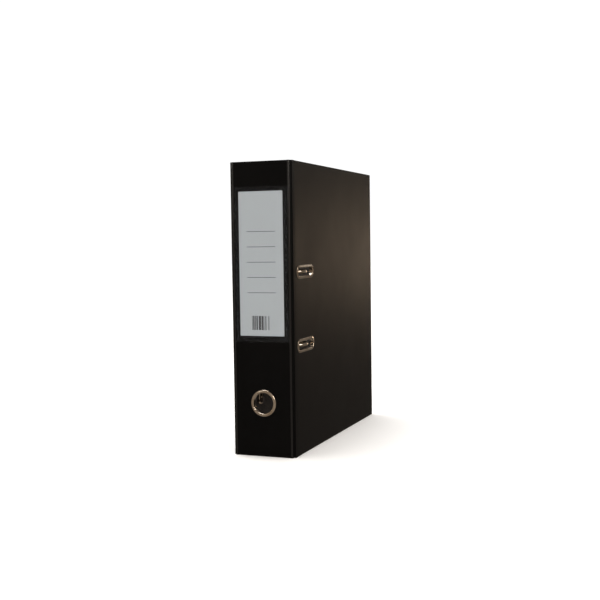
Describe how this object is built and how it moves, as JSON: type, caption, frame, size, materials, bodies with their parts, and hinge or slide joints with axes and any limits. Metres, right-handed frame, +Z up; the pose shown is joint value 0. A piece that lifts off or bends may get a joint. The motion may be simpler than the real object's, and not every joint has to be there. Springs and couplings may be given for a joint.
{
  "type": "ring binder",
  "caption": "Upright lever-arch ring binder: wrapped board covers and spine, finger ring, label pocket, eyelet slots, and a riveted mechanism of arches, lever and bar.",
  "frame": {"origin": "centre of the bounding box's bottom face, on the surface the closed file stands on", "axes": "+Z up along the height, +X out of the front cover, +Y towards the fore-edge, -Y out of the spine"},
  "size_m": [0.0738, 0.2858, 0.318],
  "materials": {
    "greyboard": "pressed greyboard",
    "black_foil": "finely embossed polypropylene foil",
    "grey_lining": "linen-embossed dark paper",
    "nickel": "bright nickel plate",
    "zinc_steel": "bright zinc-plated pressed sheet",
    "brass_steel": "yellow-passivated pressed sheet",
    "yellow_spring": "yellow lacquer",
    "black_roller": "moulded nylon",
    "bar_steel": "beige-grey satin lacquer",
    "clear_film": "clear film",
    "label_card": "smooth label card"
  },
  "bodies": {
    "back_cover": {"back_board": "greyboard", "back_covering": "black_foil", "back_turn_in": "black_foil", "back_lining": "grey_lining", "base_plate": "zinc_steel", "mechanism_rivets": "zinc_steel", "upper_post": "nickel", "lower_post": "nickel"},
    "spine": {"spine_board": "greyboard", "spine_covering": "black_foil", "spine_turn_in": "black_foil", "spine_lining": "grey_lining", "front_hinge_strip": "black_foil", "back_hinge_strip": "black_foil", "finger_ring": "nickel", "finger_ring_washer": "nickel", "label_pocket": "clear_film", "label_insert": "label_card"},
    "front_cover": {"front_board": "greyboard", "front_covering": "black_foil", "front_turn_in": "black_foil", "front_lining": "grey_lining", "upper_slot_eyelet": "nickel", "lower_slot_eyelet": "nickel", "upper_slot_washer": "nickel", "lower_slot_washer": "nickel"},
    "arches": {"arch_wire": "nickel", "arch_carrier": "brass_steel", "leaf_spring": "yellow_spring"},
    "lever": {"lever_wire": "nickel", "lever_grip": "nickel", "roller_pin": "nickel"},
    "near_roller": {"near_roller": "black_roller"},
    "far_roller": {"far_roller": "black_roller"},
    "compressor": {"compressor_bar": "bar_steel"}
  },
  "joints": [
    {"name": "spine_hinge", "type": "hinge", "parent": "back_cover", "child": "spine", "pos_m": [-0.035, -0.14105, 0.159], "axis": [0, 0, -1], "range_deg": [0, 90], "deforming": ["back_hinge_strip"]},
    {"name": "front_cover_hinge", "type": "hinge", "parent": "spine", "child": "front_cover", "pos_m": [0.035, -0.14105, 0.159], "axis": [0, 0, -1], "range_deg": [0, 90], "deforming": ["front_hinge_strip"]},
    {"name": "arch_pivot", "type": "hinge", "parent": "back_cover", "child": "arches", "pos_m": [-0.0259, -0.12405, 0.159], "axis": [0, 0, -1], "range_deg": [0, 49.5]},
    {"name": "lever_pivot", "type": "hinge", "parent": "back_cover", "child": "lever", "pos_m": [-0.0204, -0.10305, 0.147], "axis": [0, -1, 0], "range_deg": [0, 90]},
    {"name": "near_roller_spin", "type": "hinge", "parent": "lever", "child": "near_roller", "pos_m": [-0.0229, -0.11245, 0.14], "axis": [0, 1, 0], "continuous": true},
    {"name": "far_roller_spin", "type": "hinge", "parent": "lever", "child": "far_roller", "pos_m": [-0.0229, -0.09475, 0.14], "axis": [0, 1, 0], "continuous": true},
    {"name": "compressor_slide", "type": "slide", "parent": "back_cover", "child": "compressor", "axis": [1, 0, 0], "range_m": [0, 0.038]}
  ],
  "couplings": [
    {"joint": "arch_pivot", "follows": "spine_hinge", "ratio": 0.55},
    {"joint": "lever_pivot", "follows": "spine_hinge", "ratio": 1}
  ]
}
